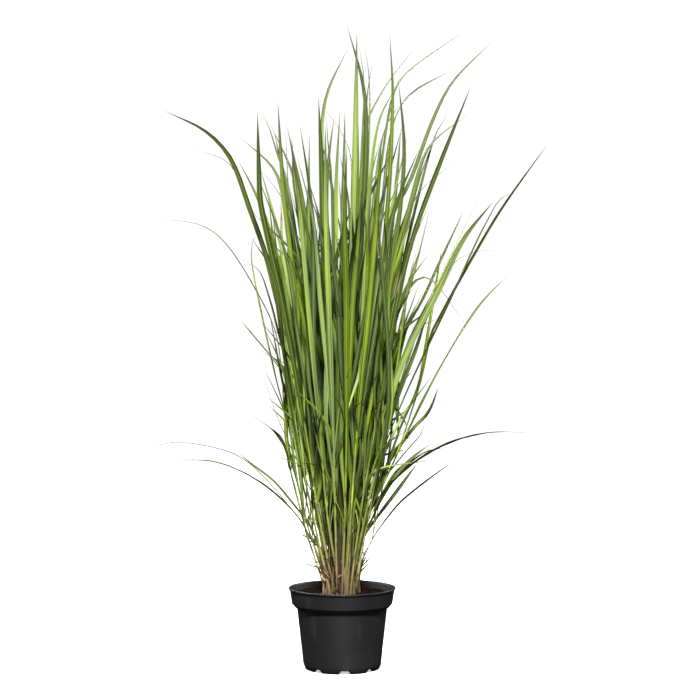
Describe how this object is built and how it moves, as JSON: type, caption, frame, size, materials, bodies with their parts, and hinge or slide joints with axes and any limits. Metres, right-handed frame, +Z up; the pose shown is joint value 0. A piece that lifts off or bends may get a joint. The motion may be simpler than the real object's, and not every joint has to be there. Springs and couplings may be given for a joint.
{
  "type": "potted ornamental grass clump",
  "caption": "Tall clump of narrow arching grass blades growing from straw-coloured culms in a plain black round nursery pot filled with dark potting mix.",
  "frame": {"origin": "on the pot's axis, level with the undersides of its feet", "axes": "+Z up along the pot's axis; -Y towards the viewer, +X to the viewer's right"},
  "size_m": [0.712, 0.6044, 1.1616],
  "materials": {
    "pot_plastic": "satin",
    "potting_mix": "matte",
    "grass_fresh": "satin",
    "grass_mid": "satin",
    "grass_grey": "satin"
  },
  "bodies": {
    "root": {"pot": "pot_plastic", "potting_mix": "potting_mix", "shoot_01": "grass_fresh", "shoot_02": "grass_mid", "shoot_03": "grass_grey", "shoot_04": "grass_fresh", "shoot_05": "grass_mid", "shoot_06": "grass_grey", "shoot_07": "grass_fresh", "shoot_08": "grass_mid", "shoot_09": "grass_grey", "shoot_10": "grass_fresh", "shoot_11": "grass_mid", "shoot_12": "grass_grey", "shoot_13": "grass_fresh", "shoot_14": "grass_mid", "shoot_15": "grass_grey", "shoot_16": "grass_fresh", "shoot_17": "grass_mid", "shoot_18": "grass_grey", "shoot_19": "grass_fresh", "shoot_20": "grass_mid", "shoot_21": "grass_grey", "shoot_22": "grass_fresh", "shoot_23": "grass_mid", "shoot_24": "grass_grey", "shoot_25": "grass_fresh", "shoot_26": "grass_mid", "shoot_27": "grass_grey", "shoot_28": "grass_fresh", "shoot_29": "grass_mid", "shoot_30": "grass_grey", "shoot_31": "grass_fresh", "shoot_32": "grass_mid", "shoot_33": "grass_grey", "shoot_34": "grass_fresh", "shoot_35": "grass_mid", "shoot_36": "grass_grey", "shoot_37": "grass_fresh", "shoot_38": "grass_mid", "shoot_39": "grass_grey", "shoot_40": "grass_fresh"}
  },
  "joints": []
}
